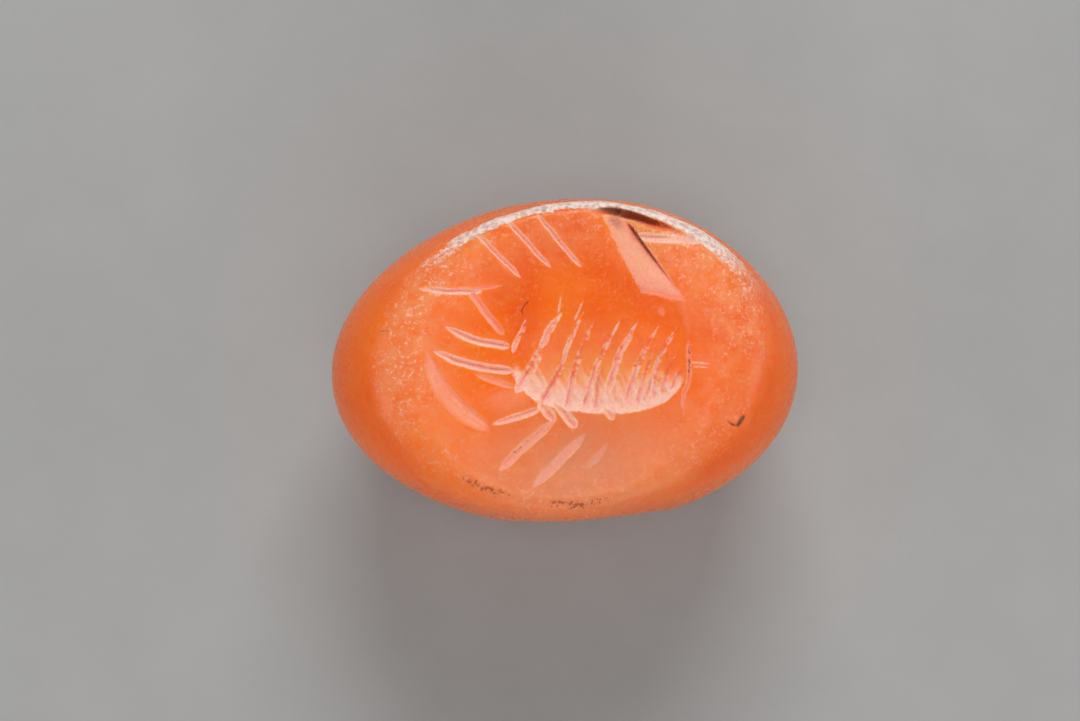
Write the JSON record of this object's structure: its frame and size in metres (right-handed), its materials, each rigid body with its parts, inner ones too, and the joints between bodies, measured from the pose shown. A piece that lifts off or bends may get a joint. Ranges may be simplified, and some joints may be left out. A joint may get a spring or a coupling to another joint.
{
  "type": "stamp seal",
  "caption": "Oval stone stamp seal with a flat face engraved with a scorpion, a domed back and a flared cord hole across its width.",
  "frame": {"origin": "on the surface the seal lies on, under the middle of its girth, at the small flat spot of the domed back", "axes": "+X along the stone's long side, +Y across it along the cord hole, +Z straight out of the engraved face"},
  "size_m": [0.018, 0.0125, 0.012],
  "materials": {
    "carnelian": "translucent orange carnelian with a soft worn polish, frosted in the engraving and along the worn rim"
  },
  "bodies": {
    "root": {"seal_stone": "carnelian"}
  },
  "joints": []
}
